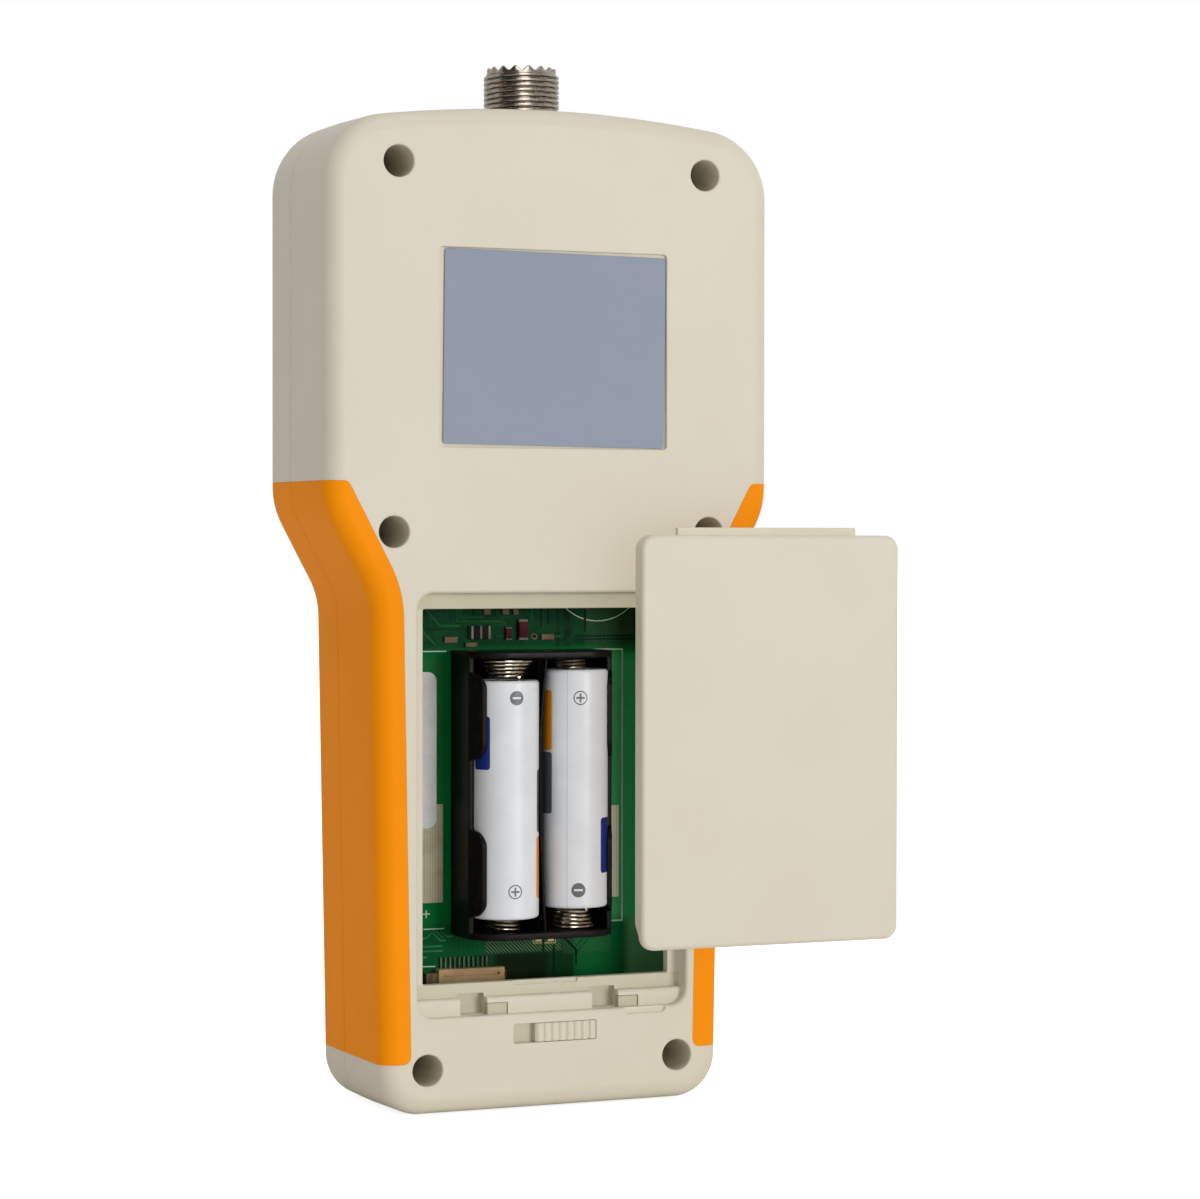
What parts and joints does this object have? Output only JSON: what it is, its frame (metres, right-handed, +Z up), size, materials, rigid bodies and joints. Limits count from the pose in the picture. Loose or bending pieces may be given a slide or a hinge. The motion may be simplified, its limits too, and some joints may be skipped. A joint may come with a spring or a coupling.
{
  "type": "antenna analyzer",
  "caption": "Handheld antenna analyzer with soft side grips, a coaxial socket in the top end, display and keys in front, and the battery cover lifted off the rear",
  "frame": {"origin": "centre of the base face that the case stands on", "axes": "+Z up towards the coaxial socket, -Y out of the rear face with the battery compartment, +Y out of the front face with the display and keys, +X to the right seen from the rear"},
  "size_m": [0.123, 0.0521, 0.2171],
  "materials": {
    "case_beige": "fine spark-eroded texture, satin",
    "grip_orange": "soft matt moulding",
    "label_grey": "printed film, satin",
    "screw_steel": "dark plated",
    "board_green": "solder mask over copper traces",
    "holder_black": "moulded, satin",
    "cell_sleeve": "silver-grey sleeve",
    "contact_brass": "wire and turned metal",
    "connector_tan": "moulded",
    "cable_white": "flat ribbon",
    "sticker_white": "plain paper",
    "socket_nickel": "nickel plate over turned brass",
    "insulator_white": "satin",
    "window_glass": "dark glossy window",
    "key_rubber": "matt keys"
  },
  "bodies": {
    "case": {"rear_shell": "case_beige", "front_shell": "case_beige", "rear_grip_left": "grip_orange", "rear_grip_right": "grip_orange", "front_grip_left": "grip_orange", "front_grip_right": "grip_orange", "rear_label": "label_grey", "case_screw_1": "screw_steel", "case_screw_2": "screw_steel", "case_screw_3": "screw_steel", "case_screw_4": "screw_steel", "case_screw_5": "screw_steel", "case_screw_6": "screw_steel", "data_socket": "screw_steel", "main_board": "board_green", "key_board": "board_green", "battery_holder": "holder_black", "display_module": "holder_black", "minus_spring_left": "contact_brass", "plus_spring_left": "contact_brass", "plus_spring_right": "contact_brass", "minus_spring_right": "contact_brass", "rf_socket_contact": "contact_brass", "keypad_connector": "connector_tan", "keypad_cable": "cable_white", "board_sticker": "sticker_white", "rf_socket_shell": "socket_nickel", "rf_socket_insulator": "insulator_white", "display_window": "window_glass"},
    "battery_cover": {"battery_cover": "case_beige"},
    "cover_latch": {"cover_latch": "case_beige"},
    "battery_cell_left": {"battery_cell_left": "cell_sleeve"},
    "battery_cell_right": {"battery_cell_right": "cell_sleeve"},
    "key_1_1": {"key_1_1": "key_rubber"},
    "key_1_2": {"key_1_2": "key_rubber"},
    "key_1_3": {"key_1_3": "key_rubber"},
    "key_2_1": {"key_2_1": "key_rubber"},
    "key_2_2": {"key_2_2": "key_rubber"},
    "key_2_3": {"key_2_3": "key_rubber"},
    "key_3_1": {"key_3_1": "key_rubber"},
    "key_3_2": {"key_3_2": "key_rubber"},
    "key_3_3": {"key_3_3": "key_rubber"},
    "key_4_1": {"key_4_1": "key_rubber"},
    "key_4_2": {"key_4_2": "key_rubber"},
    "key_4_3": {"key_4_3": "key_rubber"},
    "key_5_1": {"key_5_1": "key_rubber"},
    "key_5_2": {"key_5_2": "key_rubber"},
    "key_5_3": {"key_5_3": "key_rubber"},
    "key_6_1": {"key_6_1": "key_rubber"},
    "key_6_2": {"key_6_2": "key_rubber"},
    "key_6_3": {"key_6_3": "key_rubber"}
  },
  "joints": [
    {"name": "cover_slide", "type": "slide", "parent": "case", "child": "battery_cover", "axis": [0.9151, -0.3036, 0.2654], "range_m": [-0.0471, 0.0471]},
    {"name": "latch_slide", "type": "slide", "parent": "case", "child": "cover_latch", "axis": [1, 0, 0], "range_m": [-0.0044, 0]},
    {"name": "cell_left_lift", "type": "slide", "parent": "case", "child": "battery_cell_left", "axis": [0, -1, 0], "range_m": [0, 0.014]},
    {"name": "cell_right_lift", "type": "slide", "parent": "case", "child": "battery_cell_right", "axis": [0, -1, 0], "range_m": [0, 0.014]},
    {"name": "key_1_1_press", "type": "slide", "parent": "case", "child": "key_1_1", "axis": [0, -1, 0], "range_m": [0, 0.0005], "stiffness_N_per_m": 1200},
    {"name": "key_1_2_press", "type": "slide", "parent": "case", "child": "key_1_2", "axis": [0, -1, 0], "range_m": [0, 0.0005], "stiffness_N_per_m": 1200},
    {"name": "key_1_3_press", "type": "slide", "parent": "case", "child": "key_1_3", "axis": [0, -1, 0], "range_m": [0, 0.0005], "stiffness_N_per_m": 1200},
    {"name": "key_2_1_press", "type": "slide", "parent": "case", "child": "key_2_1", "axis": [0, -1, 0], "range_m": [0, 0.0005], "stiffness_N_per_m": 1200},
    {"name": "key_2_2_press", "type": "slide", "parent": "case", "child": "key_2_2", "axis": [0, -1, 0], "range_m": [0, 0.0005], "stiffness_N_per_m": 1200},
    {"name": "key_2_3_press", "type": "slide", "parent": "case", "child": "key_2_3", "axis": [0, -1, 0], "range_m": [0, 0.0005], "stiffness_N_per_m": 1200},
    {"name": "key_3_1_press", "type": "slide", "parent": "case", "child": "key_3_1", "axis": [0, -1, 0], "range_m": [0, 0.0005], "stiffness_N_per_m": 1200},
    {"name": "key_3_2_press", "type": "slide", "parent": "case", "child": "key_3_2", "axis": [0, -1, 0], "range_m": [0, 0.0005], "stiffness_N_per_m": 1200},
    {"name": "key_3_3_press", "type": "slide", "parent": "case", "child": "key_3_3", "axis": [0, -1, 0], "range_m": [0, 0.0005], "stiffness_N_per_m": 1200},
    {"name": "key_4_1_press", "type": "slide", "parent": "case", "child": "key_4_1", "axis": [0, -1, 0], "range_m": [0, 0.0005], "stiffness_N_per_m": 1200},
    {"name": "key_4_2_press", "type": "slide", "parent": "case", "child": "key_4_2", "axis": [0, -1, 0], "range_m": [0, 0.0005], "stiffness_N_per_m": 1200},
    {"name": "key_4_3_press", "type": "slide", "parent": "case", "child": "key_4_3", "axis": [0, -1, 0], "range_m": [0, 0.0005], "stiffness_N_per_m": 1200},
    {"name": "key_5_1_press", "type": "slide", "parent": "case", "child": "key_5_1", "axis": [0, -1, 0], "range_m": [0, 0.0005], "stiffness_N_per_m": 1200},
    {"name": "key_5_2_press", "type": "slide", "parent": "case", "child": "key_5_2", "axis": [0, -1, 0], "range_m": [0, 0.0005], "stiffness_N_per_m": 1200},
    {"name": "key_5_3_press", "type": "slide", "parent": "case", "child": "key_5_3", "axis": [0, -1, 0], "range_m": [0, 0.0005], "stiffness_N_per_m": 1200},
    {"name": "key_6_1_press", "type": "slide", "parent": "case", "child": "key_6_1", "axis": [0, -1, 0], "range_m": [0, 0.0005], "stiffness_N_per_m": 1200},
    {"name": "key_6_2_press", "type": "slide", "parent": "case", "child": "key_6_2", "axis": [0, -1, 0], "range_m": [0, 0.0005], "stiffness_N_per_m": 1200},
    {"name": "key_6_3_press", "type": "slide", "parent": "case", "child": "key_6_3", "axis": [0, -1, 0], "range_m": [0, 0.0005], "stiffness_N_per_m": 1200}
  ]
}
